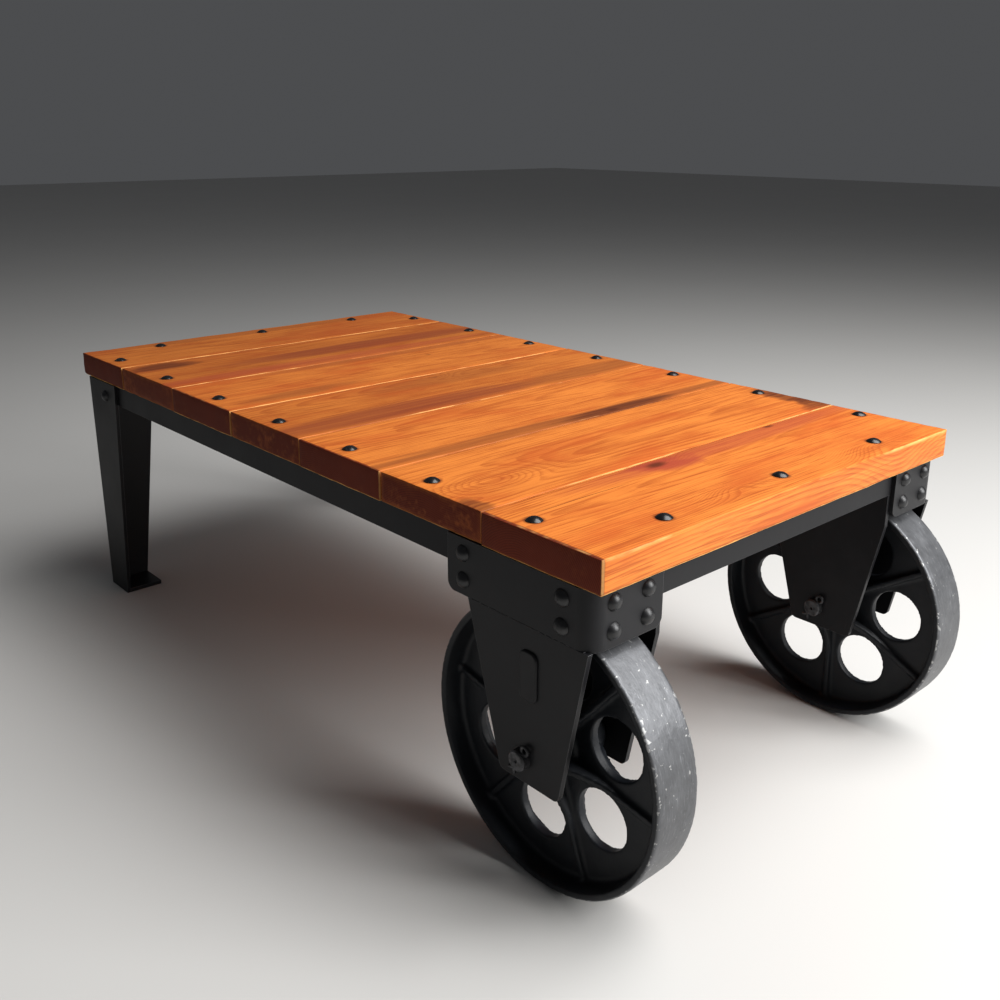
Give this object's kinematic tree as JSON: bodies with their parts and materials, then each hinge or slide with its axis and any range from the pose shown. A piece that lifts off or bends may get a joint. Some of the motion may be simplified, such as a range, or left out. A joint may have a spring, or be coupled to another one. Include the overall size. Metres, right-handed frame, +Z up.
{
  "type": "cart coffee table",
  "caption": "Low plank-topped table on two cast-iron cart wheels at one end and two tapered angle legs at the other.",
  "frame": {"origin": "on the floor, at the centre of the table's overall length and width", "axes": "+X along the deck towards the wheel end, +Y to the left-hand wheel, +Z up"},
  "size_m": [1.3056, 0.689, 0.4342],
  "materials": {
    "pine": "stained softwood boards, satin oil",
    "black_bolt": "black oxide, satin",
    "zinc": "dull zinc plate",
    "black_steel": "satin black paint",
    "black_rivet": "satin black paint",
    "cast_iron": "black painted casting, tread worn to grey metal",
    "bronze": "turned bearing bronze",
    "axle_steel": "blackened steel bar"
  },
  "bodies": {
    "table": {"plank_1": "pine", "plank_2": "pine", "plank_3": "pine", "plank_4": "pine", "plank_5": "pine", "plank_6": "pine", "plank_7": "pine", "deck_carriage_bolts": "black_bolt", "deck_bolt_washers": "zinc", "deck_bolt_nuts": "zinc", "end_rail_wheel": "black_steel", "end_rail_leg": "black_steel", "side_rail_left": "black_steel", "corner_bracket_left": "black_steel", "fork_outer_plate_left": "black_steel", "fork_inner_plate_left": "black_steel", "fork_bridge_left": "black_steel", "fork_pad_left": "black_steel", "leg_left": "black_steel", "foot_plate_left": "black_steel", "bracket_rivets_left": "black_rivet", "leg_rivets_left": "black_rivet", "axle_left": "axle_steel", "side_rail_right": "black_steel", "corner_bracket_right": "black_steel", "fork_outer_plate_right": "black_steel", "fork_inner_plate_right": "black_steel", "fork_bridge_right": "black_steel", "fork_pad_right": "black_steel", "leg_right": "black_steel", "foot_plate_right": "black_steel", "bracket_rivets_right": "black_rivet", "leg_rivets_right": "black_rivet", "axle_right": "axle_steel", "split_pins": "axle_steel", "thrust_washers": "axle_steel"},
    "wheel_left": {"wheel_left": "cast_iron", "hub_bush_left": "bronze"},
    "wheel_right": {"wheel_right": "cast_iron", "hub_bush_right": "bronze"}
  },
  "joints": [
    {"name": "wheel_left_spin", "type": "hinge", "parent": "table", "child": "wheel_left", "pos_m": [0.4845, 0.2805, 0.1685], "axis": [0, 1, 0], "continuous": true},
    {"name": "wheel_right_spin", "type": "hinge", "parent": "table", "child": "wheel_right", "pos_m": [0.4845, -0.2805, 0.1685], "axis": [0, 1, 0], "continuous": true}
  ]
}
